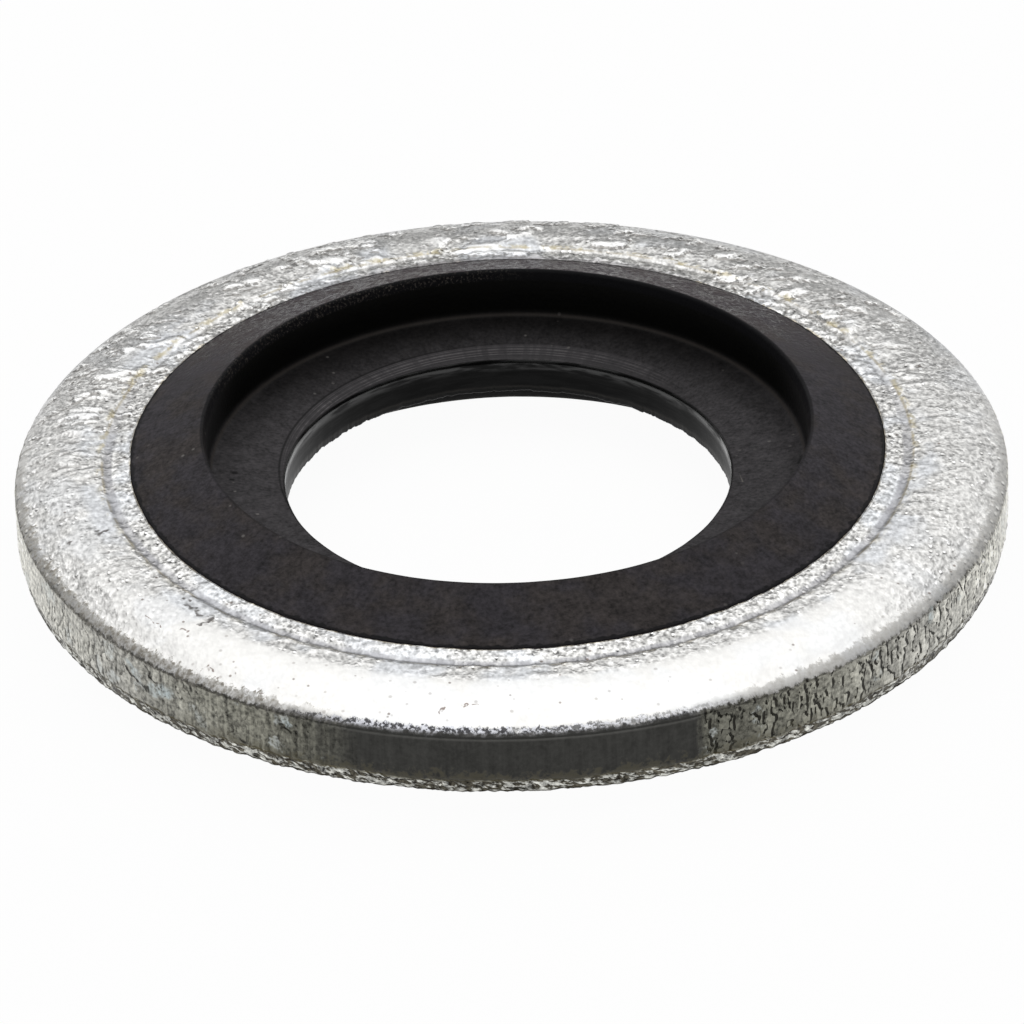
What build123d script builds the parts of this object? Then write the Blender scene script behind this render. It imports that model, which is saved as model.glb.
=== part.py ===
from build123d import *
import os

# Bonded sealing washer: a blanked steel ring with a rubber seal moulded and bonded
# into its bore. The seal has a triangular lip on each face and a thin centring web
# that grips the thread. All lengths are in millimetres, diameters unless named otherwise.

# steel ring
ring_diameter = 11.0
ring_thickness = 1.0
die_roll_drop = 0.26           # how far the rounded shoulder falls to the wall, on the upper face
fracture_height = 0.20         # torn band at the foot of the sheared edge
fracture_inset = 0.07

# where steel and rubber meet
bond_diameter = 8.33

# across the ring's face from the bond outwards: a bead, the line where the mould
# pinched the steel, and the flat land, which ends where the shoulder starts to fall
bead_width = 0.285
bead_rise = 0.02
pinch_width = 0.07
pinch_depth = 0.03
land_width = 0.18

# rubber seal
lip_bore = 6.64
lip_height = 0.335             # crest above the ring's flat face
crest_land = 0.03              # width of the flat on the crest
bevel_width = 0.04             # bevel inside the crest
bevel_depth = 0.11

# centring web
web_bore = 4.94
web_thickness = 0.35           # at the bore
web_root_thickness = 0.56      # where it joins the lips
root_fillet = 0.08

# radii that follow from these
pinch_radius = bond_diameter / 2 + bead_width
land_start = pinch_radius + pinch_width
land_end = land_start + land_width
crest_radius = lip_bore / 2 + bevel_width

# heights above the ring's middle plane
face_height = ring_thickness / 2
bond_height = face_height + bead_rise
crest_height = face_height + lip_height

# the lower crest stands on z = 0
lift = Pos(0, 0, crest_height)


def pinched_face(side):
    """The face of the ring from its bore to the flat, on side +1 (upper) or -1 (lower)."""
    bond_edge = (bond_diameter / 2, side * bond_height)
    pinch_line = (pinch_radius, side * (face_height - pinch_depth))
    flat_edge = (land_start, side * face_height)
    TangentArc(bond_edge, pinch_line, tangent=(1, 0))
    Line(pinch_line, flat_edge)
    return bond_edge, flat_edge


def ring_section():
    outer = ring_diameter / 2
    upper_bond, upper_flat = pinched_face(+1)
    lower_bond, lower_flat = pinched_face(-1)
    roll_start = (land_end, face_height)
    roll_end = (outer, face_height - die_roll_drop)
    fracture_top = (outer, fracture_height - face_height)
    fracture_foot = (outer - fracture_inset, -face_height)
    Line(upper_flat, roll_start)
    TangentArc(roll_start, roll_end, tangent=(1, 0))
    Polyline(roll_end, fracture_top, fracture_foot, lower_flat)
    Line(lower_bond, upper_bond)


def seal_half():
    """Upper half of the seal's section, from the bond round to the middle plane."""
    Polyline(
        (bond_diameter / 2, 0),
        (bond_diameter / 2, bond_height),
        (crest_radius + crest_land, crest_height),
        (crest_radius, crest_height),
        (lip_bore / 2, crest_height - bevel_depth),
        (lip_bore / 2, web_root_thickness / 2),
        (web_bore / 2, web_thickness / 2),
        (web_bore / 2, 0),
        close=True,
    )


# steel ring
with BuildPart() as ring:
    with BuildSketch(Plane.XZ):
        with BuildLine():
            ring_section()
        make_face()
    revolve(axis=Axis.Z)

# rubber seal
with BuildPart() as seal:
    with BuildSketch(Plane.XZ) as seal_profile:
        with BuildLine():
            seal_half()
        make_face()
        mirror(about=Plane.XZ)
        web_roots = seal_profile.vertices().filter_by(
            lambda v: abs(v.X - lip_bore / 2) < 1e-6 and abs(abs(v.Y) - web_root_thickness / 2) < 1e-6
        )
        fillet(web_roots, root_fillet)
    revolve(axis=Axis.Z)

parts = {
    "steel_ring": lift * ring.part,
    "rubber_seal": lift * seal.part,
}

os.makedirs("parts", exist_ok=True)
for name, solid in parts.items():
    solid.label = name
    export_step(solid, f"parts/{name}.step")
    box = solid.bounding_box()
    print(name, round(solid.volume, 3), "mm3", [round(v, 3) for v in box.size])
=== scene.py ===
import math

import bpy
from mathutils import Matrix, Vector


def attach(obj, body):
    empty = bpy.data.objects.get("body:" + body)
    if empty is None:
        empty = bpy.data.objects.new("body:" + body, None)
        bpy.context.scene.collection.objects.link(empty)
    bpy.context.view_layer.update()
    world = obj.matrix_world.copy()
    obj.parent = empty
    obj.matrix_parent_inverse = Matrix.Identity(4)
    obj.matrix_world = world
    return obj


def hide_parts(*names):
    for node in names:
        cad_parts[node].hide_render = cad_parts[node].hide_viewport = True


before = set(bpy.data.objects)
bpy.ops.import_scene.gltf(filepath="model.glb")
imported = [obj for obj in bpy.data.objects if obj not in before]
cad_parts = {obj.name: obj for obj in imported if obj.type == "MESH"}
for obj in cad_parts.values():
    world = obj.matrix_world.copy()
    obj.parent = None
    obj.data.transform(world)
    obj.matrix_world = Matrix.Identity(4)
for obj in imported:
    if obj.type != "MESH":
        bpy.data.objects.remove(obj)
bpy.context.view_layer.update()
print("frame loaded:", sorted(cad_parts))

mm = 0.001


# a socket in a sum: 1 - mask or height * 0.3 adds its Math nodes
class Wire:
    def __init__(self, bench, socket):
        self.bench = bench
        self.socket = socket

    def __add__(self, other):
        return self.bench.maths("ADD", self, other)

    def __radd__(self, other):
        return self.bench.maths("ADD", other, self)

    def __sub__(self, other):
        return self.bench.maths("SUBTRACT", self, other)

    def __rsub__(self, other):
        return self.bench.maths("SUBTRACT", other, self)

    def __mul__(self, other):
        return self.bench.maths("MULTIPLY", self, other)

    def __rmul__(self, other):
        return self.bench.maths("MULTIPLY", other, self)

    def __truediv__(self, other):
        return self.bench.maths("DIVIDE", self, other)

    def __neg__(self):
        return self.bench.maths("MULTIPLY", self, -1.0)

    def __abs__(self):
        return self.bench.maths("ABSOLUTE", self)

    # another output of the same node
    def twin(self, name):
        return Wire(self.bench, self.socket.node.outputs[name])


# one shader or geometry tree under construction
class Bench:
    def __init__(self, tree):
        self.tree = tree

    # any node: its settings first, then the values or links of its sockets
    def node(self, kind, settings=None, sockets=None, out=0):
        made = self.tree.nodes.new(kind)
        for key, value in (settings or {}).items():
            setattr(made, key, value)
        for key, value in (sockets or {}).items():
            if isinstance(value, Wire):
                self.tree.links.new(value.socket, made.inputs[key])
            else:
                made.inputs[key].default_value = value
        return Wire(self, made.outputs[out]) if len(made.outputs) else made

    def maths(self, operation, *values):
        return self.node("ShaderNodeMath", {"operation": operation}, dict(enumerate(values)))

    def clamped(self, value):
        return self.node("ShaderNodeClamp", None, {0: value})

    def vector(self, operation, *values, out=0):
        return self.node("ShaderNodeVectorMath", {"operation": operation}, dict(enumerate(values)), out)

    def scaled(self, vector, factor):
        return self.node("ShaderNodeVectorMath", {"operation": "SCALE"}, {0: vector, "Scale": factor})

    def joined(self, x, y, z):
        return self.node("ShaderNodeCombineXYZ", None, {0: x, 1: y, 2: z})

    # 0 below low, 1 above high, smooth between
    def step(self, value, low, high):
        return self.node("ShaderNodeMapRange", {"interpolation_type": "SMOOTHSTEP"},
                         {"Value": value, "From Min": low, "From Max": high})

    # 1 between low and high, 0 outside
    def band(self, value, low, high, soft):
        return self.step(value, low - soft, low + soft) * (1 - self.step(value, high - soft, high + soft))

    # 1 on a line, 0 a width away from it
    def line(self, value, place, width):
        return 1 - self.step(abs(value - place), 0.0, width)

    def between(self, factor, first, second):
        return first * (1 - factor) + second * factor

    # from one colour to another; a plain colour needs no fourth number
    def blend(self, factor, first, second):
        first, second = (c + (1,) if isinstance(c, tuple) else c for c in (first, second))
        return self.node("ShaderNodeMix", {"data_type": "RGBA", "clamp_factor": True},
                         {0: factor, 6: first, 7: second}, 2)

    def noise(self, vector, scale, detail=2.0, roughness=0.5, distortion=0.0):
        return self.node("ShaderNodeTexNoise", {"noise_dimensions": "3D"},
                         {"Vector": vector, "Scale": scale, "Detail": detail, "Roughness": roughness,
                          "Distortion": distortion})

    # a field of blobs, and the gaps beside them on the side that the shift comes from
    def edged(self, field, vector, shift):
        here, there = field(vector), field(self.vector("ADD", vector, shift))
        return here, self.clamped(there - here)

    # small round spots in a share of the cells of a grid
    def spots(self, vector, scale, size, share):
        cell = self.node("ShaderNodeTexVoronoi", {"feature": "F1"}, {"Vector": vector, "Scale": scale})
        chance = self.node("ShaderNodeSeparateXYZ", None, {0: cell.twin("Color")})
        return (1 - self.step(cell, size * 0.40, size)) * self.step(chance, 1 - share - 0.005, 1 - share)

    # 1 along a short stroke between two places, in mm, 0 a width away from it
    def stroke(self, spot, start, end, width):
        run = Vector(end) - Vector(start)
        gap = self.vector("SUBTRACT", spot, start)
        share = self.clamped(self.vector("DOT_PRODUCT", gap, tuple(run / run.length_squared), out=1))
        miss = self.vector("SUBTRACT", gap, self.scaled(tuple(run), share))
        return 1 - self.step(self.vector("LENGTH", miss, out=1), width * 0.25, width)

    # the surface unrolled without a seam, in mm: round the axis at one radius, and across the section
    def unrolled(self, radius, stretch=1.0, squeeze=1.0):
        flat = self.vector("MULTIPLY", self.position(), (1, 1, 0))
        around = self.scaled(self.vector("NORMALIZE", flat), radius * squeeze)
        return self.vector("ADD", around, self.joined(0.0, 0.0, self.attribute("across") * stretch))

    # 1 towards a bearing in degrees from +X, -1 away from it
    def towards(self, bearing):
        flat = self.vector("NORMALIZE", self.vector("MULTIPLY", self.position(), (1, 1, 0)))
        turn = math.radians(bearing)
        return self.vector("DOT_PRODUCT", flat, (math.cos(turn), math.sin(turn), 0), out=1)

    # 1 within half a width of a bearing, both in degrees
    def sector(self, bearing, width, soft):
        edge = math.cos(math.radians(width / 2))
        spread = math.sin(math.radians(width / 2)) * math.radians(soft)
        return self.step(self.towards(bearing), edge - spread, edge + spread)


# points of an arc that leaves start level and bends to end
def tangentArc(start, end, steps):
    run, drop = end[0] - start[0], start[1] - end[1]
    radius = (run * run + drop * drop) / (2 * drop)
    turn = math.asin(run / radius)
    angles = [turn * k / steps for k in range(1, steps + 1)]
    return [(start[0] + radius * math.sin(a), start[1] - radius * (1 - math.cos(a))) for a in angles]


def straight(start, end, steps):
    return [tuple(s + (e - s) * k / steps for s, e in zip(start, end)) for k in range(1, steps + 1)]


# a soft corner from start to end round a sharp one
def softCorner(start, corner, end, steps):
    shares = [k / steps for k in range(1, steps + 1)]
    return [tuple(a * (1 - t) ** 2 + b * 2 * t * (1 - t) + c * t * t for a, b, c in zip(start, corner, end))
            for t in shares]


# a straight run with a close row at each end, which keeps the corners crisp when shaded smooth
def guarded(start, end, steps, guard):
    share = guard / math.dist(start, end)
    first = tuple(s + (e - s) * share for s, e in zip(start, end))
    last = tuple(e - (e - s) * share for s, e in zip(start, end))
    return [first] + straight(first, last, steps) + [end]


# a section under way: points in mm as (radius, height), and the points that have a name
class Section:
    def __init__(self, start):
        self.points = [start]
        self.named = {}

    def add(self, points, name=None):
        self.points += points
        if name:
            self.named[name] = len(self.points) - 1

    def end(self):
        return self.points[-1]

    # the closed outline as loose edges, each point knowing how far across the section it lies, in mm
    def piece(self, name):
        mesh = bpy.data.meshes.new(name)
        edges = [(k, (k + 1) % len(self.points)) for k in range(len(self.points))]
        mesh.from_pydata([(r * mm, z * mm, 0) for r, z in self.points], edges, [])
        across = [0.0]
        for a, b in zip(self.points, self.points[1:]):
            across.append(across[-1] + math.dist(a, b))
        mesh.attributes.new("across", "FLOAT", "POINT").data.foreach_set("value", across)
        piece = bpy.data.objects.new(name, mesh)
        bpy.context.scene.collection.objects.link(piece)
        marks = {key: across[k] for key, k in self.named.items()}
        marks["whole"] = across[-1]
        return piece, marks


# a geometry tree that turns the section round Z; what follows it is the piece's own relief
class Form(Bench):
    def __init__(self, name, inputs):
        super().__init__(bpy.data.node_groups.new(name, "GeometryNodeTree"))
        self.sockets = {}
        self.tree.interface.new_socket("Geometry", in_out="INPUT", socket_type="NodeSocketGeometry")
        for label, value in inputs.items():
            kind = {int: "NodeSocketInt", float: "NodeSocketFloat"}.get(type(value), "NodeSocketMaterial")
            socket = self.tree.interface.new_socket(label, in_out="INPUT", socket_type=kind)
            self.sockets[label] = (socket.identifier, value)
        self.tree.interface.new_socket("Geometry", in_out="OUTPUT", socket_type="NodeSocketGeometry")
        self.entry = self.tree.nodes.new("NodeGroupInput")
        self.exit = self.tree.nodes.new("NodeGroupOutput")

    def given(self, label):
        return Wire(self, self.entry.outputs[label])

    # in mm, like every length in the trees
    def position(self):
        return self.scaled(self.node("GeometryNodeInputPosition"), 1 / mm)

    def attribute(self, name, kind="FLOAT"):
        return self.node("GeometryNodeInputNamedAttribute", {"data_type": kind}, {"Name": name})

    def store(self, geometry, name, value, kind="FLOAT"):
        return self.node("GeometryNodeStoreNamedAttribute", {"data_type": kind, "domain": "POINT"},
                         {"Geometry": geometry, "Name": name, "Value": value})

    def revolved(self):
        section = self.node("GeometryNodeMeshToCurve", None, {"Mesh": self.given("Geometry")})
        section = self.store(section, "place", self.position(), "FLOAT_VECTOR")
        count = self.given("Segments")
        circle = self.node("GeometryNodeCurvePrimitiveCircle", {"mode": "RADIUS"},
                           {"Resolution": count, "Radius": 0.005})
        circle = self.store(circle, "turn", self.node("GeometryNodeInputIndex") / count * math.tau)
        body = self.node("GeometryNodeCurveToMesh", None, {"Curve": circle, "Profile Curve": section})
        place = self.node("ShaderNodeSeparateXYZ", None, {0: self.attribute("place", "FLOAT_VECTOR")})
        turn = self.attribute("turn")
        spot = self.joined(place * self.maths("COSINE", turn), place * self.maths("SINE", turn),
                           place.twin("Y"))
        body = self.node("GeometryNodeSetPosition", None,
                         {"Geometry": body, "Position": self.scaled(spot, mm)})
        return self.store(body, "smooth", self.position(), "FLOAT_VECTOR")

    # where a point lies on the smooth form, without its relief
    def smooth(self):
        return self.position()

    # moves the surface by a vector, in mm
    def moved(self, geometry, offset):
        return self.node("GeometryNodeSetPosition", None,
                         {"Geometry": geometry, "Offset": self.scaled(offset, mm)})

    # moves the surface out along its normal by height, in mm
    def raised(self, geometry, height):
        return self.moved(geometry, self.scaled(self.node("GeometryNodeInputNormal"), height))

    def finished(self, geometry):
        geometry = self.node("GeometryNodeSetShadeSmooth", None, {"Geometry": geometry})
        geometry = self.node("GeometryNodeRealizeInstances", None, {"Geometry": geometry})
        geometry = self.node("GeometryNodeSetMaterial", None,
                             {"Geometry": geometry, "Material": self.given("Finish")})
        self.tree.links.new(geometry.socket, self.exit.inputs[0])


# runs a form on a section and leaves a plain mesh at the origin
def shaped(piece, form):
    modifier = piece.modifiers.new("revolve", "NODES")
    modifier.node_group = form.tree
    for identifier, value in form.sockets.values():
        modifier[identifier] = value
    bpy.context.view_layer.update()
    seen = piece.evaluated_get(bpy.context.evaluated_depsgraph_get())
    mesh = bpy.data.meshes.new_from_object(seen)
    piece.modifiers.clear()
    old, piece.data = piece.data, mesh
    bpy.data.meshes.remove(old)
    mesh.name = piece.name
    print("shaped", piece.name, len(mesh.vertices), "points", len(mesh.polygons), "faces")


# a material under construction, with Object coordinates in mm
class Finish(Bench):
    def __init__(self, name):
        self.material = bpy.data.materials.new(name)
        self.material.use_nodes = True
        super().__init__(self.material.node_tree)
        self.tree.nodes.clear()

    def position(self):
        return self.scaled(self.node("ShaderNodeTexCoord", out="Object"), 1 / mm)

    def attribute(self, name):
        return self.node("ShaderNodeAttribute", {"attribute_name": name}, out="Fac")

    def smooth(self):
        return self.node("ShaderNodeAttribute", {"attribute_name": "smooth"}, out="Vector")

    # height in mm
    def bump(self, height):
        return self.node("ShaderNodeBump", None, {"Strength": 1.0, "Distance": mm, "Height": height})

    def shaded(self, **sockets):
        sockets = {key.replace("_", " "): value for key, value in sockets.items()}
        surface = self.node("ShaderNodeBsdfPrincipled", None, sockets)
        self.node("ShaderNodeOutputMaterial", None, {0: surface})
        return self.material


steelRing = {
    "outerRadius": 5.5,
    "bondRadius": 4.165,
    "upperFace": 1.335,
    "lowerFace": 0.335,
    "beadWidth": 0.265,
    "beadRise": 0.012,
    "pinchWidth": 0.07,
    "pinchDepth": 0.022,
    "landWidth": 0.18,
    "rollDrop": 0.26,
    "tornHeight": 0.18,
    "tornInset": 0.045,
    "guard": 0.012,
    "edgeSoft": 0.050,
    "moulding": -0.034,       # how far the rubber's centre lies along X from the blank's
    "smoothFrom": 249.0,      # bearings of the burnished part of the wall
    "smoothTo": 290.5,
    "notch": ((-0.07, -5.47, 1.14), (-0.01, -5.47, 1.14)),      # a bright break in the worn corner
    # single cracks and marks: their points, their width, and their tint; dark and black ones are painted
    # shade in cracks, pale ones painted highlights beside them, brown ones stains
    "scars": [
        ([(-3.55, -2.93, 1.33), (-3.48, -3.00, 1.33)], 0.034, "dark"),
        ([(-3.49, -3.07, 1.33), (-3.41, -3.16, 1.33), (-3.36, -3.30, 1.33)], 0.040, "dark"),
        ([(-3.23, -3.31, 1.33), (-3.29, -3.40, 1.33), (-3.37, -3.45, 1.33)], 0.032, "dark"),
        ([(-3.60, -3.50, 1.29), (-3.49, -3.54, 1.31)], 0.024, "brown"),
        ([(-4.01, -3.14, 1.27), (-3.89, -3.31, 1.27), (-3.79, -3.39, 1.28)], 0.018, "brown"),
        ([(-4.48, -1.51, 1.33), (-4.40, -1.46, 1.33)], 0.050, "dark"),
        ([(-4.85, -1.60, 1.27), (-4.84, -1.61, 1.27)], 0.040, "dark"),
        ([(-4.42, -1.91, 1.33), (-4.41, -1.91, 1.33)], 0.040, "dark"),
        ([(-3.34, -4.13, 1.18), (-3.29, -4.12, 1.21), (-3.26, -4.17, 1.19)], 0.028, "brown"),
        ([(-0.83, -5.19, 1.22), (-0.78, -5.14, 1.24)], 0.020, "brown"),
        ([(-0.59, -5.12, 1.25), (-0.43, -5.10, 1.27)], 0.018, "brown"),
        ([(-4.18, -3.58, 0.92), (-4.12, -3.64, 0.81)], 0.060, "pale"),
        ([(-3.93, -3.85, 0.75), (-3.77, -4.00, 0.79)], 0.120, "pale"),
        ([(4.51, -3.15, 1.07), (4.49, -3.18, 0.93)], 0.060, "pale"),
        ([(-2.51, -4.90, 0.96), (-2.45, -4.92, 0.91)], 0.045, "pale"),
        ([(-4.24, -3.51, 0.90), (-4.20, -3.55, 0.83), (-4.10, -3.67, 0.76), (-3.98, -3.80, 0.71)],
         0.034, "black"),
        ([(-3.68, -4.09, 0.94), (-3.61, -4.15, 0.82)], 0.034, "black"),
        ([(-3.62, -4.14, 1.05), (-3.53, -4.22, 0.90)], 0.028, "black"),
        ([(-4.01, -3.76, 1.00), (-3.97, -3.81, 0.94), (-3.96, -3.82, 0.88), (-3.88, -3.90, 0.86)],
         0.034, "black"),
        ([(-2.59, -4.85, 0.96), (-2.46, -4.92, 0.85)], 0.030, "black"),
        ([(-2.30, -5.00, 0.98), (-2.25, -5.02, 0.90)], 0.026, "black"),
        ([(-2.96, -4.63, 0.57), (-2.95, -4.64, 0.56)], 0.045, "black"),
        ([(4.42, -3.27, 0.49), (4.42, -3.28, 0.49)], 0.036, "black"),
    ],
    # colours of the plating, the wall, the torn foot, the worn corner and the single marks
    "tints": {
        "dull": (0.70, 0.695, 0.68), "clean": (0.70, 0.715, 0.735), "flakeHighlight": (0.98, 0.98, 0.97),
        "gap": (0.17, 0.155, 0.14), "farSlopeShade": (0.24, 0.245, 0.27), "pinched": (0.30, 0.30, 0.325),
        "olive": (0.30, 0.25, 0.15), "yellow": (0.46, 0.39, 0.20), "pit": (0.16, 0.12, 0.10),
        "stain": (0.42, 0.33, 0.17), "smear": (0.26, 0.25, 0.26), "palePatch": (0.58, 0.62, 0.62),
        "hole": (0.030, 0.028, 0.024), "wallFoot": (0.070, 0.062, 0.036),
        "crumbLow": (0.085, 0.078, 0.060), "crumbHigh": (0.52, 0.52, 0.485),
        "hollowShade": (0.018, 0.015, 0.011), "tearLine": (0.085, 0.072, 0.034),
        "footEdge": (0.05, 0.042, 0.03), "shadedBand": (0.36, 0.34, 0.30), "wornShadeLow": (0.105, 0.102, 0.100),
        "wornShadeHigh": (0.055, 0.054, 0.060), "fleck": (0.68, 0.69, 0.74), "lineDark": (0.085, 0.080, 0.070),
        "linePale": (0.22, 0.21, 0.185), "dark": (0.10, 0.09, 0.085), "brown": (0.22, 0.17, 0.15),
        "pale": (0.50, 0.56, 0.57), "black": (0.018, 0.017, 0.014),
    },
    "relief": {
        "Segments": 1280,
        "Seed": 4.0,
        "Swell": 0.008,
        "Flakes": 0.030,
        "Grain": 0.030,
        "Wall Folds": 0.016,
        "Striations": 0.006,
        "Torn Edge": 0.045,
        "Corner": 0.014,
    },
}


def steelSection(s):
    pinch = s["bondRadius"] + s["beadWidth"]
    landStart = pinch + s["pinchWidth"]
    landEnd = landStart + s["landWidth"]
    top, foot = s["upperFace"], s["lowerFace"]
    rim = (s["outerRadius"], top - s["rollDrop"])
    tear = (s["outerRadius"], foot + s["tornHeight"])
    ring = Section((s["bondRadius"], top + s["beadRise"]))
    ring.add([(s["bondRadius"] + s["guard"] / 2, top + s["beadRise"])])
    ring.add(tangentArc(ring.end(), (pinch, top - s["pinchDepth"]), 8), "pinch")
    ring.add(straight(ring.end(), (landStart, top), 4), "landStart")
    ring.add(straight(ring.end(), (landEnd, top), 4), "landEnd")
    ring.add(tangentArc(ring.end(), rim, 22)[:-4], "corner")
    ring.add(softCorner(ring.end(), rim, (rim[0], rim[1] - s["edgeSoft"]), 8), "rim")
    ring.add(straight(ring.end(), tear, 10), "tear")
    ring.add(guarded(ring.end(), (s["outerRadius"] - s["tornInset"], foot), 4, s["guard"]), "foot")
    ring.add(guarded(ring.end(), (landStart, foot), 10, s["guard"]))
    ring.add(straight(ring.end(), (pinch, foot + s["pinchDepth"]), 2), "underPinch")
    under = tangentArc((s["bondRadius"], foot - s["beadRise"]), ring.end(), 4)
    ring.add(under[-2::-1] + [(s["bondRadius"], foot - s["beadRise"])])
    return ring


# fields that the relief and the finish share, so that painted shade lies in the hollows and painted
# highlights on the tops
class SteelFields:
    def __init__(self, bench, s, marks, seed):
        step, noise = bench.step, bench.noise
        rimRadius = s["outerRadius"]

        def seeded(vector, x=0.0, y=0.0, z=0.0):
            return bench.vector("ADD", vector, bench.joined(seed + x, y, z))

        def patches(spot, scale, low, high):
            return step(noise(spot, scale, 2.0, 0.6), low, high)

        def above(scale, level, soft, detail=2.0):
            return lambda spot: step(noise(spot, scale, detail, 0.6, 0.3), level - soft, level + soft)

        def placed(x, y, z, shift=0.0):
            return seeded(bench.vector("MULTIPLY", base, (x, y, z)), 0, 0, shift)

        self.across = bench.attribute("across")
        base = bench.smooth()
        place = bench.node("ShaderNodeSeparateXYZ", None, {0: base})
        self.front = bench.towards(270)
        self.spread = placed(1, 1, 1)
        # grains on the faces, drawn out from front to back
        self.stood = placed(1, 0.70, 1)
        upright = placed(1, 0.8, 0.42, 2.0)
        self.drawn = seeded(bench.unrolled(rimRadius, 0.05), 0, 0, 3)
        # 1 on the burnished part of the wall: it fades in on one side and ends sharply on the other
        frayed = (noise(self.drawn, 9.0, 3.0, 0.7) - 0.5) * 0.10
        self.smooth = step(bench.towards(s["smoothFrom"] + 90) + frayed, -0.09, 0.07) * step(
            bench.towards(s["smoothTo"] - 90) + frayed * 0.5, -0.014, 0.010)
        # the faces: clean patches, grainy patches and patches of flakes
        outer = step(self.across, marks["landEnd"], marks["landEnd"] + 0.14)
        # the front of the outer shoulder: painted lighter and with calmer grain, a painted highlight
        litShoulder = step(self.front, 0.42, 0.82) * outer
        self.litShoulder = litShoulder * (1 - step(self.across, marks["foot"] - 0.01, marks["foot"]))
        self.clean = patches(seeded(self.spread, 0, 0, 8), 1.1, 0.50, 0.60) * (1 - 0.6 * outer)
        inner = 1 - step(self.across, marks["landStart"] - 0.02, marks["landStart"] + 0.10)
        self.grainy = bench.clamped(0.55 + inner + patches(seeded(self.spread, 6), 1.5, 0.42, 0.60))
        self.grainy = self.grainy * (1 - self.litShoulder) * (1 - 0.6 * self.clean)
        self.beads, self.shades = bench.edged(
            lambda spot: bench.spots(spot, 12.0, 0.33, 0.70), seeded(self.stood, 0, 0, 15),
            (0.004, 0.014, 0.0))
        lumps = seeded(placed(0.68, 1.15, 1, 4.0))
        lump = noise(lumps, 4.4, 3.0, 0.62, 0.2)
        behind = noise(bench.vector("ADD", lumps, (0.004, 0.045, 0.0)), 4.4, 3.0, 0.62, 0.2)
        flaky = patches(seeded(self.spread, 3), 1.4, 0.40, 0.50) * (1 - self.litShoulder)
        flaky = flaky * (0.25 + 0.75 * step(bench.towards(100), -0.05, 0.55))
        self.lumps = step(lump, 0.50, 0.63) * flaky
        self.flakes = step(lump, 0.555, 0.585) * flaky
        self.gaps = bench.clamped(step(behind, 0.515, 0.540) - step(lump, 0.515, 0.540)) * flaky
        # the wall: crumpled skin with upright cracks in patches, drawn lines beside the burnished part
        self.skin = noise(placed(1, 1, 0.7, 2.0), 6.0, 4.0, 0.68, 0.3)
        crumpled = patches(seeded(self.spread, 0, 0, 12), 1.2, 0.36, 0.52) + bench.sector(322.0, 44.0, 10.0)
        crumpled = bench.clamped(crumpled) * (1 - self.smooth)
        ahead = bench.joined(place.twin("Y") * bench.maths("SIGN", place), abs(place) * -0.8, 0.0)
        self.strokes, self.cracks = bench.edged(
            above(11.0, 0.54, 0.025), upright, bench.scaled(ahead, 0.032 / rimRadius))
        deep = 0.30 + 0.70 * step(bench.towards(330), 0.2, 0.7) + 0.45 * bench.sector(194.0, 44.0, 10.0)
        deep = bench.clamped(deep) * crumpled
        self.strokes, self.cracks = self.strokes * deep, bench.clamped(self.cracks * 1.6) * deep
        self.streaked = bench.clamped(bench.sector(240.0, 34.0, 8.0) + self.smooth * 0.3)
        self.wall = bench.band(self.across, marks["rim"] - 0.01, marks["tear"], 0.010)
        # the torn foot: slanting crumbs over dark hollows
        slanted = bench.joined(place + place.twin("Z"), place.twin("Y"), place.twin("Z") * 1.6)
        self.crumbs, self.hollows = bench.edged(
            above(10.0, 0.51, 0.05, 3.0), seeded(slanted), (-0.010, 0.0, 0.028))
        self.torn = step(self.across, marks["tear"] - 0.01, marks["tear"] + 0.01) * (
            1 - step(self.across, marks["foot"] - 0.01, marks["foot"] + 0.01))
        # the worn corner between shoulder and wall, with teeth: broad in front, only a line elsewhere; its
        # colour is partly wear and partly painted shade
        self.teeth = noise(seeded(bench.unrolled(rimRadius, 0.6), 5), 13.0, 5.0, 0.78) - 0.5
        self.ragged = self.across + self.teeth * 0.22
        self.broad = step(self.front, 0.84, 0.96)
        start = marks["rim"] - 0.055 - 0.090 * self.broad
        end = marks["rim"] - 0.050 * self.broad
        self.wornShaded = step(self.ragged - start, -0.012, 0.012) * (1 - step(self.ragged - end, -0.030, 0.010))


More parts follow.
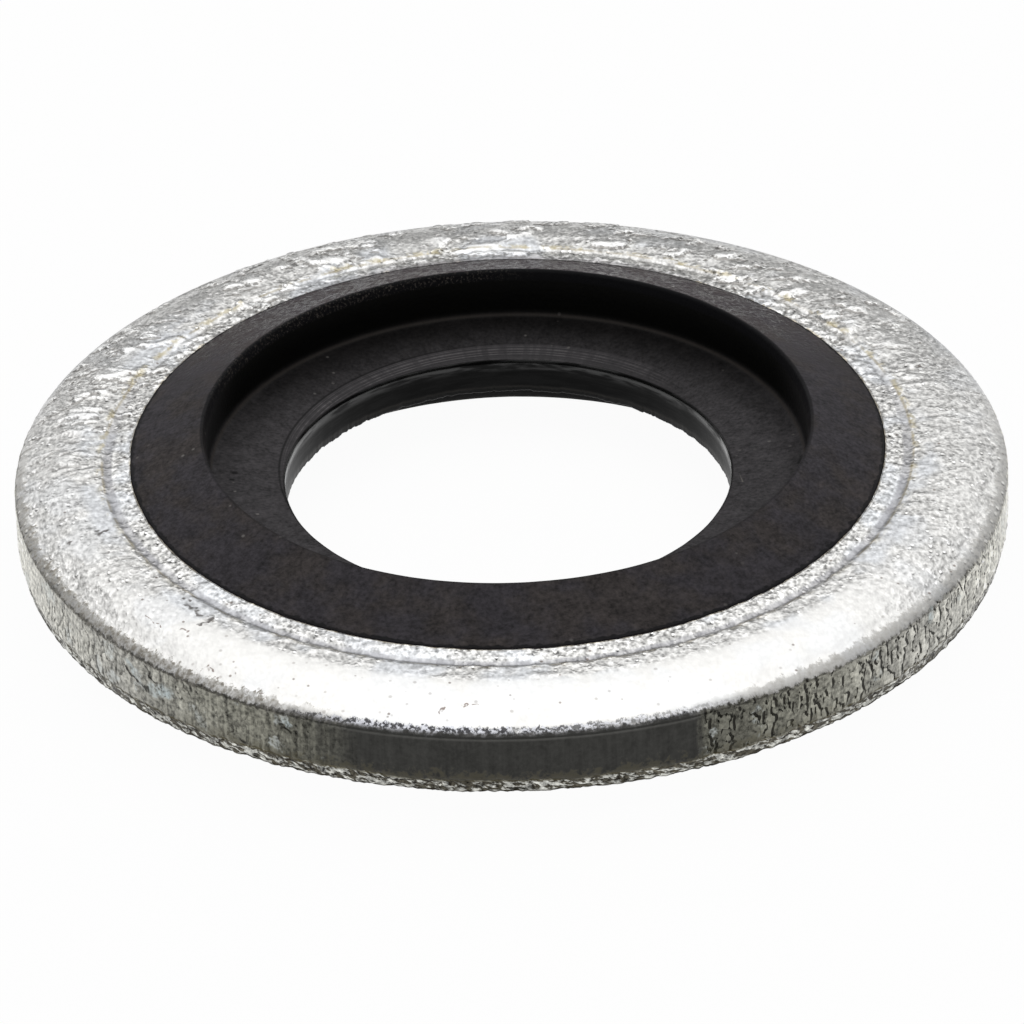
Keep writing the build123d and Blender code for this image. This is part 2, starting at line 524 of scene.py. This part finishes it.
def steelForm(s, marks, finish):
    form = Form("steelForm", {**s["relief"], "Finish": finish})
    body = form.revolved()
    f = SteelFields(form, s, marks, form.given("Seed"))
    across = f.across
    upper = 1 - form.step(across, marks["corner"] - 0.02, marks["corner"] + 0.03)
    under = form.step(across, marks["foot"] - 0.01, marks["foot"] + 0.03)

    face = (form.noise(f.spread, 0.9, 1.0) - 0.5) * 2 * form.given("Swell")
    face = face + (f.lumps - 0.4) * form.given("Flakes")
    grain = (form.noise(f.spread, 6.0, 2.0, 0.55) - 0.70) * form.given("Grain")
    face = face + grain * (1 - 0.65 * f.clean) * (1 - 0.6 * f.litShoulder)
    folds = ((f.skin - 0.92) * 2 + (f.strokes - f.cracks) * 0.6) * (1 - f.smooth) * form.given("Wall Folds")
    lines = (form.noise(f.drawn, 11.0, 1.0) - 0.9) * form.given("Striations") * f.streaked
    chips = (form.noise(f.spread, 9.0, 3.0, 0.6) - 0.95 + f.crumbs * 0.2) * form.given("Torn Edge")
    corner = (form.noise(f.spread, 11.0, 2.0) - 0.70) * 2 * form.given("Corner") * f.wornShaded
    body = form.raised(body, face * (upper + under) + (folds + lines) * f.wall + chips * f.torn + corner)

    # the tear line wanders up and down the wall, and the foot's rim is notched
    around = form.unrolled(s["outerRadius"], 0.0)
    wander = (form.noise(around, 2.4, 3.0, 0.6) - 0.5) * 0.12 * form.line(across, marks["tear"], 0.16)
    notch = (form.noise(around, 8.0, 3.0, 0.6) - 0.35) * 0.07 * form.line(across, marks["foot"], 0.05)
    body = form.moved(body, form.joined(0.0, 0.0, wander + form.maths("MAXIMUM", notch, 0.0)))

    # the hole was moulded a little off the blank's centre
    radius = form.vector("LENGTH", form.vector("MULTIPLY", form.position(), (1, 1, 0)), out=1)
    shift = (1 - form.step(radius, s["bondRadius"] + 0.4, s["outerRadius"])) * s["moulding"]
    form.finished(form.moved(body, form.joined(shift, 0.0, 0.0)))
    return form


def steelFinish(s, marks):
    steel = Finish("platedSteel")
    step, noise, blend, spots = steel.step, steel.noise, steel.blend, steel.spots
    tints = s["tints"]
    f = SteelFields(steel, s, marks, s["relief"]["Seed"])
    across = f.across
    onWall = step(across, marks["rim"] - 0.20, marks["rim"] - 0.10)
    fine = steel.between(onWall, noise(f.stood, 20.0, 1.0, 0.5), noise(f.spread, 20.0, 3.0, 0.6))
    speck = fine - 0.5
    cloud = noise(f.spread, 4.5, 4.0, 0.62) - 0.5

    # plating: bluish and clean in patches, dull between, with grains painted bright as painted highlights
    # and crescents beside them painted dim as painted shade
    plated = blend(f.clean, tints["dull"], tints["clean"])
    onBead = 1 - step(across, marks["pinch"] - 0.08, marks["pinch"])
    tone = 0.30 * cloud + 0.9 * speck * (1 + onBead)
    tone = tone + f.grainy * (0.60 * f.beads - 0.06 + 0.8 * speck - 0.75 * f.shades)
    # the front of the shoulder is painted lighter here, a painted highlight
    plated = steel.scaled(plated, 1 + tone * (1 - 0.75 * f.litShoulder) + f.litShoulder * 0.16)
    # flakes painted near white as painted highlights, and the gaps beside them painted dark as painted
    # shade
    plated = blend(f.flakes * 0.60, plated, tints["flakeHighlight"])
    plated = blend(f.gaps * 0.62, plated, tints["gap"])
    # on the back, the far slope of the shoulder is painted dim: painted shade
    far = steel.line(across, marks["landEnd"] + 0.80, 0.06) * step(-f.front, 0.1, 0.6)
    plated = blend(far * 0.7, plated, tints["farSlopeShade"])
    # the pinched line: a soft grey slope, painted shade, with a thin olive line beside it
    slope = steel.band(across, marks["pinch"] - 0.055, marks["pinch"] + 0.045, 0.020)
    plated = blend(slope * (0.55 + 1.2 * cloud) * step(f.front, -0.6, 0.1), plated, tints["pinched"])
    sootAndShade = steel.line(across, marks["pinch"] + 0.050, 0.030) * step(noise(f.spread, 4.0, 3.0), 0.42, 0.56)
    plated = blend(sootAndShade * 0.60, plated, tints["olive"])
    yellow = steel.line(across + cloud * 0.25, marks["landStart"] + 0.02, 0.07) * step(
        noise(f.spread, 4.5, 3.0, 0.6), 0.49, 0.56) * (1 - 0.7 * step(f.front, -0.2, 0.6))
    plated = blend(yellow * 0.55, plated, tints["yellow"])
    pits = spots(steel.vector("ADD", f.spread, (3, 1, 2)), 6.0, 0.14, 0.45)
    pits = pits + spots(f.stood, 8.0, 0.14, 0.20) * step(cloud, 0.05, 0.12)
    faint = spots(steel.vector("ADD", f.spread, (1, 5, 2)), 7.0, 0.20, 0.55)
    plated = blend(pits * 0.75 + faint * 0.35 * f.litShoulder, plated, tints["pit"])
    stain = (1 - step(across, 0.0, 0.035)) * step(noise(f.spread, 6.0, 2.0), 0.35, 0.60)
    plated = blend(stain * 0.6, plated, tints["stain"])
    # rubber dust on the bead at the back
    smear = (1 - step(across, 0.06, 0.13)) * step(-f.front, 0.80, 0.97) * (1 - step(across, 0.5, 0.6))
    plated = blend(smear * (0.60 + 0.8 * speck), plated, tints["smear"])

    # the sheared wall: painted darker towards the front as painted shade, and the burnished part painted
    # nearly black, also painted shade
    shade = steel.clamped(0.80 - 0.68 * steel.maths("MAXIMUM", f.front, -0.45 * f.front))
    shade = shade - 0.055 * step(f.front, 0.80, 0.92)
    streak = noise(f.drawn, 16.0, 2.0, 0.6)
    # the strokes beside the cracks are painted lighter, a painted highlight
    mottled = 1 + 1.3 * (f.skin - 0.5) + 3.2 * speck + 0.55 * f.strokes
    shade = shade * (mottled + 2.2 * f.streaked * (streak - 0.5))
    grey = steel.joined(shade, shade * 0.985, shade * (0.900 - 0.075 * step(f.front, 0.6, 0.9)))
    pale = step(noise(f.spread, 2.6, 4.0, 0.6), 0.60, 0.64) * (1 - f.smooth)
    grey = blend(pale * (0.32 + 2.0 * speck), grey, tints["palePatch"])
    # the cracks are painted black: painted shade in them
    grey = blend(f.cracks * 0.92, grey, tints["black"])
    holes = spots(f.spread, 9.0, 0.17, 0.40) * steel.sector(302.0, 24.0, 5.0)
    grey = blend(holes * 0.75, grey, tints["hole"])
    burnishedShade = 0.046 + 0.026 * (streak - 0.5) + 0.04 * (f.skin - 0.5) + 0.03 * speck
    low = step(across + (f.skin - 0.5) * 0.5 + speck * 0.3, marks["tear"] - 0.12, marks["tear"] - 0.02)
    burnishedShade = burnishedShade + 0.020 * low
    burnishedShade = burnishedShade + 0.050 * steel.band(across, marks["rim"] - 0.050, marks["rim"] + 0.004, 0.018)
    sheared = blend(f.smooth, grey, steel.joined(burnishedShade, burnishedShade * 0.99, burnishedShade * 0.93))
    sheared = blend(low * step(f.front, 0.6, 0.9) * 0.5, sheared, tints["wallFoot"])

    # the torn foot: slanting crumbs painted pale as painted highlights, over hollows painted dark as
    # painted shade, under a yellowish line
    broken = blend(f.crumbs, tints["crumbLow"], tints["crumbHigh"])
    broken = steel.scaled(broken, 1 + 4.0 * speck + 2.0 * cloud)
    broken = blend(f.hollows * 0.85, broken, tints["hollowShade"])
    broken = blend(steel.line(across, marks["tear"] + 0.012, 0.030) * 0.8, broken, tints["tearLine"])
    footEdge = step(across, marks["foot"] - 0.035, marks["foot"] - 0.01)
    broken = blend(footEdge * 0.6, broken, tints["footEdge"])
    edge = f.ragged + 0.05 * f.broad
    colour = blend(step(edge, marks["rim"] - 0.05, marks["rim"] - 0.03), plated, sheared)
    colour = blend(f.torn, colour, broken)
    colour = blend(step(across, marks["foot"] - 0.01, marks["foot"] + 0.01), colour, plated)
    # the worn corner, partly wear and partly painted shade: a dull band with teeth, painted shade on the
    # sides, over a dark line, black with bright flecks in front, where the black is painted shade
    dull = steel.band(across + 0.45 * f.teeth, marks["corner"] + 0.02, marks["rim"] - 0.03, 0.015)
    dull = dull * step(f.front, -0.3, 0.3)
    rightward = step(steel.towards(325), 0.55, 0.95)
    dullness = (0.55 + 3.5 * speck + 2.0 * cloud + 1.8 * f.teeth) * (1 - f.broad) * (1 - 0.7 * rightward)
    colour = blend(dull * dullness, colour, tints["shadedBand"])
    flecks = step(noise(f.spread, 20.0, 3.0, 0.7), 0.47, 0.55)
    high = 1 - step(across, marks["rim"] - 0.11, marks["rim"] - 0.06)
    wornShaded = blend(high, tints["wornShadeLow"], tints["wornShadeHigh"])
    wornShaded = blend(flecks * (0.15 + 0.85 * high), wornShaded, tints["fleck"])
    line = blend(flecks, tints["lineDark"], tints["linePale"])
    notch = steel.stroke(steel.position(), s["notch"][0], s["notch"][1], 0.085)
    amount = f.wornShaded * (0.75 + 0.2 * f.broad) * (1 - 0.7 * rightward) * (1 - notch)
    colour = blend(amount, colour, blend(f.broad, line, wornShaded))
    # single marks, a little wavy: painted shade in cracks, painted highlights beside them, and stains
    stray = steel.vector("SUBTRACT", noise(f.spread, 12.0, 1.0).twin("Color"), (0.5, 0.5, 0.5))
    spot = steel.vector("ADD", steel.smooth(), steel.scaled(stray, 0.13))
    for points, width, tint in s["scars"]:
        for start, end in zip(points, points[1:]):
            scar = steel.stroke(spot, start, end, width)
            colour = blend(scar * (0.55 + 3.0 * speck if tint == "pale" else 0.9), colour, tints[tint])

    roughness = 0.28 + 0.14 * noise(f.spread, 3.0, 2.0) + 0.08 * f.litShoulder + 0.28 * dull * (1 - f.broad)
    bumps = fine * 0.0080 * (1 + 0.8 * f.grainy + 0.7 * onBead)
    bumps = bumps + f.beads * f.grainy * 0.0055 + f.flakes * 0.004 - f.gaps * 0.006
    bumps = bumps * (1 - 0.5 * f.clean) * (1 - 0.85 * f.smooth * f.wall) * (1 - 0.6 * f.litShoulder)
    bumps = bumps + (streak * 0.0035 * f.streaked + f.strokes * 0.009 - f.cracks * 0.014) * f.wall
    return steel.shaded(Base_Color=colour, Metallic=1.0, Roughness=roughness, Normal=steel.bump(bumps))


rubberSeal = {
    "bondRadius": 4.165,
    "middle": 0.835,
    "bondHeight": 0.512,
    "crestHeight": 0.835,
    "crestRadius": 3.36,
    "crestLand": 0.03,
    "lipBore": 3.32,
    "bevelDepth": 0.11,
    "rootHeight": 0.28,
    "rootFillet": 0.08,
    "guard": 0.006,
    "webBore": 2.47,
    "webHeight": 0.175,
    "moulding": -0.034,
    "ringLine": (2.57, 0.0, 0.20),      # radius and centre of the cut line round the bore
    "coneSpread": 3.4,                  # radii at which patterns are unrolled
    "boreSpread": 2.5,
    "sheen": 0.08,
    "coatRoughness": 0.16,              # of the glossy half of the bore
    # colours of the lip, the web, the bore and the small marks
    "tints": {
        "cone": (0.0320, 0.0290, 0.0335), "coneBrown": (0.0365, 0.0312, 0.0303),
        "coneBackSheen": (0.056, 0.046, 0.049), "coneEdge": (0.004, 0.004, 0.005),
        "bevel": (0.005, 0.005, 0.006), "dust": (0.075, 0.066, 0.059), "black": (0.003, 0.003, 0.003),
        "wall": (0.0030, 0.0030, 0.0026), "wallAsideLit": (0.0140, 0.0136, 0.0140),
        "sootAndShade": (0.0070, 0.0064, 0.0064), "web": (0.0395, 0.0368, 0.0390),
        "turnedDark": (0.034, 0.032, 0.034), "turnedPale": (0.110, 0.103, 0.106),
        "boreDark": (0.0010, 0.0010, 0.0010), "borePale": (0.0080, 0.0080, 0.0080),
        "fillet": (0.034, 0.029, 0.026), "rim": (0.0005, 0.0005, 0.0005), "glint": (0.30, 0.29, 0.26),
        "flash": (0.046, 0.043, 0.039), "grit": (0.20, 0.19, 0.18), "pale": (0.22, 0.19, 0.15),
        "dim": (0.13, 0.12, 0.11), "dark": (0.001, 0.001, 0.001),
    },
    "relief": {
        "Segments": 1440,
        "Seed": 2.0,
        "Ripple": 0.005,
        "Flash": 0.080,
        "Tool Marks": 0.003,
    },
    # start, end, width of small nicks, and whether dark or pale
    "nicks": [
        ((-3.32, -0.30, 1.62), (-3.27, -0.42, 1.60), 0.035, "pale"),
        ((-3.07, 0.07, 1.08), (-3.05, 0.07, 1.08), 0.045, "dark"),
        ((-3.10, -0.08, 1.08), (-3.08, -0.08, 1.08), 0.035, "dark"),
        ((3.18, -0.10, 1.09), (3.22, 0.04, 1.09), 0.035, "dark"),
        ((2.52, -0.16, 1.03), (2.55, -0.34, 1.03), 0.014, "dim"),
        ((0.96, 3.28, 1.62), (1.00, 3.28, 1.62), 0.022, "pale"),
        ((1.30, 3.18, 1.60), (1.33, 3.17, 1.60), 0.018, "pale"),
    ],
}


def sealSection(s):
    bore, root = (s["lipBore"], s["rootHeight"]), s["rootFillet"]
    slope = (s["rootHeight"] - s["webHeight"]) / (s["lipBore"] - s["webBore"])
    foot = (s["lipBore"] - root, bore[1] - root * slope)
    half = Section((s["bondRadius"], s["bondHeight"]))
    crest = (s["crestRadius"] + s["crestLand"], s["crestHeight"])
    half.add(guarded(half.end(), crest, 8, s["guard"]), "crest")
    half.add(straight(half.end(), (s["crestRadius"], s["crestHeight"]), 1), "bevel")
    half.add(straight(half.end(), (s["lipBore"], s["crestHeight"] - s["bevelDepth"]), 3), "lip")
    half.add(straight(half.end(), (s["lipBore"], bore[1] + root), 3), "root")
    corner = [(bore[0] - root * (1 - math.cos(a)), bore[1] + root * (1 - math.sin(a)))
              for a in (math.radians(22), math.radians(45), math.radians(68))]
    half.add([(r, z + (foot[1] - bore[1]) * (bore[0] - r) / root) for r, z in corner] + [foot], "web")
    half.add(straight(foot, (s["webBore"] + 0.012, s["webHeight"]), 9), "rim")
    half.add(straight(half.end(), (s["webBore"], s["webHeight"] - 0.012), 1))
    half.add(straight(half.end(), (s["webBore"], 0), 3), "middle")
    seal = Section((s["bondRadius"], s["middle"] + s["bondHeight"]))
    seal.named = half.named
    seal.points = [(r, s["middle"] + z) for r, z in half.points]
    seal.points += [(r, s["middle"] - z) for r, z in half.points[-2::-1]]
    return seal


def sealForm(s, marks, finish):
    form = Form("sealForm", {**s["relief"], "Finish": finish})
    body = form.revolved()
    across = form.attribute("across")
    spread = form.vector("ADD", form.unrolled(s["coneSpread"]), form.joined(form.given("Seed"), 0.0, 0.0))
    ripple = (form.noise(spread, 1.6, 2.0) - 0.5) * 2 * form.given("Ripple")
    body = form.raised(body, ripple)

    # a ragged flash hangs from the lower rim of the web, longest at the sides
    lower = form.line(across, marks["whole"] - marks["rim"], 0.11)
    torn = form.noise(form.unrolled(s["boreSpread"], 0.0), 5.0, 4.0, 0.75)
    rag = 0.55 + 0.45 * form.step(torn, 0.25, 0.65)
    rag = rag * (0.80 + 0.35 * abs(form.towards(0)))
    body = form.moved(body, form.joined(0.0, 0.0, -lower * rag * form.given("Flash")))
    # this section runs the other way round, so its faces are turned outward
    body = form.node("GeometryNodeFlipFaces", None, {"Mesh": body})
    form.finished(form.moved(body, form.joined(s["moulding"], 0.0, 0.0)))
    return form


def sealFinish(s, marks):
    rubber = Finish("nitrileRubber")
    step, noise, blend = rubber.step, rubber.noise, rubber.blend
    tints = s["tints"]
    across = rubber.attribute("across")
    # the same from either face
    depth = rubber.maths("MINIMUM", across, marks["whole"] - across)
    lower = step(across, marks["middle"] - 0.02, marks["middle"] + 0.02)
    back = rubber.towards(90)
    spread = rubber.unrolled(s["coneSpread"])
    cloud = noise(spread, 1.7, 3.0, 0.6)
    mottle = noise(spread, 5.0, 4.0, 0.75)
    grain = noise(spread, 21.0, 2.0, 0.6)
    tone = 1 + 2.0 * (mottle - 0.5) + 1.9 * (grain - 0.5)

    # the sloping lip, brownish in clouds; its bevel with dusty grains, painted dark, and black on the lower
    # lip, as painted shade; the inner wall
    cone = blend(step(cloud, 0.40, 0.62), tints["cone"], tints["coneBrown"])
    # the cone is painted lighter on the back, a painted sheen
    cone = blend(step(back, 0.2, 0.9) * 0.6, cone, tints["coneBackSheen"])
    cone = rubber.scaled(cone, tone)
    # the edge at the bond is darker, with small ticks
    ticks = depth + (noise(spread, 13.0, 2.0) - 0.5) * 0.10
    cone = blend((1 - step(ticks, 0.022, 0.045)) * 0.85, cone, tints["coneEdge"])
    dusty = step(noise(spread, 34.0, 3.0, 0.7), 0.50, 0.72) * rubber.sector(128, 76, 8)
    bevel = blend(dusty, tints["bevel"], tints["dust"])
    bevel = blend(step(back, -0.5, 0.4), rubber.scaled(cone, 0.55), bevel)
    bevel = blend(lower, bevel, tints["black"])
    # the inner wall: painted near black as painted shade, and lighter at the sides where it catches the
    # light, a painted highlight
    aside = 1 - step(abs(back), 0.15, 0.45)
    wall = blend(aside, tints["wall"], tints["wallAsideLit"])

    # the web, painted darker by its root and towards the back as painted shade, and turned smooth round the
    # bore
    out = step(depth, marks["web"] + 0.02, marks["rim"] - 0.1)
    side = 1 - step(back, -0.1, 0.9)
    out = rubber.clamped(out * 0.62 + side * 0.85)
    web = blend(out, tints["sootAndShade"], tints["web"])
    web = rubber.scaled(web, tone)
    radius, middleX, middleY = s["ringLine"]
    flat = rubber.vector("MULTIPLY", rubber.position(), (1, 1, 0))
    reach = rubber.vector("LENGTH", rubber.vector("SUBTRACT", flat, (middleX, middleY, 0)), out=1) - radius
    turned = (1 - step(reach, -0.02, 0.01)) * step(depth, marks["web"], marks["web"] + 0.1)
    turned = turned * step(rubber.towards(110), 0.25, 0.85)
    # the turned marks show only on the far side, and their pale rings are a painted sheen
    broken = 0.35 + 0.65 * step(noise(rubber.unrolled(2.6, 0.0), 7.0, 3.0, 0.6), 0.42, 0.58)
    rings = noise(rubber.joined(reach, 0.0, 0.0), 26.0, 2.0, 0.7)
    ringSheen = blend(step(rings, 0.46, 0.60) * broken, tints["turnedDark"], tints["turnedPale"])
    web = blend(turned * 0.9, web, rubber.scaled(ringSheen, 0.5 + mottle))
    cut = rubber.line(reach, 0.0, 0.022) * 0.8 * step(rubber.towards(165), 0.1, 0.7)
    web = blend(cut, web, tints["black"])

    # the bore, streaked round, painted near black as painted shade, under a black rim
    streak = noise(rubber.unrolled(s["boreSpread"], 1.0, 0.14), 15.0, 3.0, 0.6)
    bore = blend(step(streak, 0.40, 0.65), tints["boreDark"], tints["borePale"])

    colour = blend(step(depth, marks["crest"] - 0.01, marks["crest"] + 0.015), cone, bevel)
    colour = blend(step(depth, marks["lip"] - 0.02, marks["lip"] + 0.02), colour, wall)
    # a thin light line on the fillet at the web's root, a painted highlight
    fillet = rubber.line(depth, (marks["root"] + marks["web"]) / 2 + 0.01, 0.036)
    colour = blend(step(depth, marks["root"], marks["web"] - 0.03), colour, web)
    colour = blend(fillet * 0.75, colour, tints["fillet"])
    colour = blend(step(depth, marks["rim"] - 0.015, marks["rim"] + 0.015), colour, bore)
    colour = blend(rubber.line(depth, marks["rim"] + 0.005, 0.025), colour, tints["rim"])
    # the lower lip's crest catches the light in a thin broken line
    glint = rubber.line(depth, marks["bevel"] - 0.005, 0.022) * lower * step(
        noise(spread, 6.0, 2.0), 0.38, 0.55)
    colour = blend(glint * 0.9, colour, tints["glint"])
    # so does the ragged lower rim of the web, in one faint line over a black edge
    flash = rubber.line(across, marks["whole"] - marks["rim"] - 0.045, 0.016) * lower
    colour = blend(flash * (0.25 + 0.5 * noise(spread, 3.0, 2.0)), colour, tints["flash"])
    colour = blend(rubber.line(across, marks["whole"] - marks["rim"], 0.03) * 0.9, colour, tints["rim"])
    # grey grit in drifts
    drift = step(noise(spread, 1.3, 2.0), 0.52, 0.66) * 0.6 + rubber.sector(200, 40, 8)
    grit = rubber.spots(spread, 8.0, 0.22, 0.16) * rubber.clamped(drift)
    grit = grit * (1 - step(depth, marks["rim"] - 0.02, marks["rim"]))
    colour = blend(grit * 0.6, colour, tints["grit"])
    for start, end, width, tint in s["nicks"]:
        colour = blend(rubber.stroke(rubber.position(), start, end, width) * 0.9, colour, tints[tint])

    inBore = step(depth, marks["rim"] - 0.01, marks["rim"] + 0.02)
    onCone = 1 - step(depth, marks["crest"] - 0.02, marks["crest"])
    roughness = rubber.between(inBore, 0.46 + 0.14 * cloud, 0.30 + 0.20 * streak) - turned * 0.08
    # where the cone is seen flat, its sheen is broken by grains and stops at the ticked edge
    sheen = onCone * step(back, 0.2, 0.9)
    grains = 2.6 * (grain - 0.5) + 2.0 * (mottle - 0.5)
    roughness = roughness + sheen * (grains - 0.16 + 0.8 * (1 - step(ticks, 0.015, 0.035)))
    bumps = (grain * 0.0055 * (1 + 1.6 * sheen) + mottle * 0.006) * (1 - inBore) + streak * 0.004 * inBore
    bumps = bumps + rings * turned * s["relief"]["Tool Marks"]
    # the upper half of the bore was rubbed glossy, and shines only where it is seen along its wall
    half = marks["whole"] / 2 - marks["rim"]
    gloss = 1 - step(depth, marks["rim"] + 0.3 * half, marks["rim"] + 0.95 * half)
    gloss = gloss * inBore * (1 - lower) * (0.10 + 0.90 * step(streak, 0.38, 0.58))
    return rubber.shaded(Base_Color=colour, Roughness=roughness, Specular_IOR_Level=s["sheen"],
                         Coat_Weight=gloss, Coat_Roughness=s["coatRoughness"], Normal=rubber.bump(bumps))


ringOutline = steelSection(steelRing)
ring, ringMarks = ringOutline.piece("steelRing")
shaped(ring, steelForm(steelRing, ringMarks, steelFinish(steelRing, ringMarks)))

sealOutline = sealSection(rubberSeal)
seal, sealMarks = sealOutline.piece("rubberSeal")
shaped(seal, sealForm(rubberSeal, sealMarks, sealFinish(rubberSeal, sealMarks)))

for piece, node, slot in ((ring, "steel_ring", "plated_steel"), (seal, "rubber_seal", "nitrile_rubber")):
    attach(piece, "root")
    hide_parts(node)
    print("dressed", node, "with", piece.name)

studio = {
    "floorHalf": 0.6,
    "haze": 0.96,
    "world": 0.22,
    # light that has bounced more often than this no longer shows on a part this open
    "bounces": {"max_bounces": 5, "diffuse_bounces": 3, "glossy_bounces": 3},
    "lamps": {
        # name: place, what it faces, size, level
        "overhead": ((0, 0.008, 0.10), (0, 0.008, 0), (0.17, 0.154), 1.22),
        "behind": ((0, 0.14, 0.107), (0, 0, 0), (0.20, 0.077), 0.92),
        "behindLeft": ((-0.095, 0.125, 0.05), (0, 0, 0), (0.10, 0.07), 0.75),
        "behindRight": ((0.095, 0.125, 0.05), (0, 0, 0), (0.10, 0.07), 0.75),
    },
}


def layFloor(s):
    mesh = bpy.data.meshes.new("floor")
    half = s["floorHalf"]
    corners = [(-half, -half, 0), (half, -half, 0), (half, half, 0), (-half, half, 0)]
    mesh.from_pydata(corners, [], [(0, 1, 2, 3)])
    floor = bpy.data.objects.new("floor", mesh)
    bpy.context.scene.collection.objects.link(floor)
    paper = Finish("paper")
    paint = paper.node("ShaderNodeBsdfDiffuse", None, {"Color": (0.85, 0.85, 0.85, 1)})
    glow = paper.node("ShaderNodeEmission", None, {"Color": (1, 1, 1, 1), "Strength": 1.0})
    rays = paper.node("ShaderNodeLightPath", out="Is Camera Ray")
    seen = paper.maths("MAXIMUM", rays, rays.twin("Is Glossy Ray"))
    seen = paper.maths("MAXIMUM", seen, rays.twin("Is Transmission Ray"))
    shown = paper.node("ShaderNodeMixShader", None, {0: seen * s["haze"], 1: paint, 2: glow})
    paper.node("ShaderNodeOutputMaterial", None, {0: shown})
    mesh.materials.append(paper.material)


# a soft panel; level is the brightness that it shows
def hangLamp(name, spot, target, size, level):
    light = bpy.data.lights.new(name, "AREA")
    light.shape = "RECTANGLE"
    light.size, light.size_y = size
    light.energy = level * size[0] * size[1] * math.pi
    lamp = bpy.data.objects.new(name, light)
    bpy.context.scene.collection.objects.link(lamp)
    lamp.location = spot
    lamp.rotation_euler = (Vector(target) - Vector(spot)).to_track_quat("-Z", "Y").to_euler()


layFloor(studio)
for name, (spot, target, size, level) in studio["lamps"].items():
    hangLamp(name, spot, target, size, level)
world = bpy.data.worlds.new("studio")
bpy.context.scene.world = world
world.use_nodes = True
world.node_tree.nodes["Background"].inputs[0].default_value = (studio["world"],) * 3 + (1,)

camera = {
    "distance": 0.110,
    "elevation": 31.13,
    "roll": 1.64,
    "aimed": (-0.000034, 0, 0.001069),
    "pixels": (508.0, 469.0),
    "focal": 9944.0,
    "frame": 1024,
}


def placeCamera(c):
    tilt, roll = math.radians(c["elevation"]), math.radians(c["roll"])
    ahead = Vector((0, math.cos(tilt), -math.sin(tilt)))
    across, up = Vector((1, 0, 0)), Vector((0, math.sin(tilt), math.cos(tilt)))
    right = across * math.cos(roll) - up * math.sin(roll)
    top = across * math.sin(roll) + up * math.cos(roll)
    spot = Vector(c["aimed"]) - ahead * c["distance"]
    side = (c["pixels"][0] - c["frame"] / 2) / c["focal"]
    rise = (c["frame"] / 2 - c["pixels"][1]) / c["focal"]
    # the aimed point lands off centre, so the axis turns the other way
    axis = (ahead - right * side - top * rise).normalized()
    right = (right - axis * right.dot(axis)).normalized()
    top = right.cross(axis)
    data = bpy.data.cameras.new("camera")
    data.sensor_width = 36
    data.lens = c["focal"] / c["frame"] * 36
    data.clip_start, data.clip_end = 0.005, 5
    made = bpy.data.objects.new("camera", data)
    bpy.context.scene.collection.objects.link(made)
    made.matrix_world = Matrix((
        (right.x, top.x, -axis.x, spot.x),
        (right.y, top.y, -axis.y, spot.y),
        (right.z, top.z, -axis.z, spot.z),
        (0, 0, 0, 1)))
    bpy.context.scene.camera = made


placeCamera(camera)
bpy.context.scene.view_settings.view_transform = "Standard"
for key, value in studio["bounces"].items():
    setattr(bpy.context.scene.cycles, key, value)
print("studio set:", len(studio["lamps"]), "lamps and the camera")
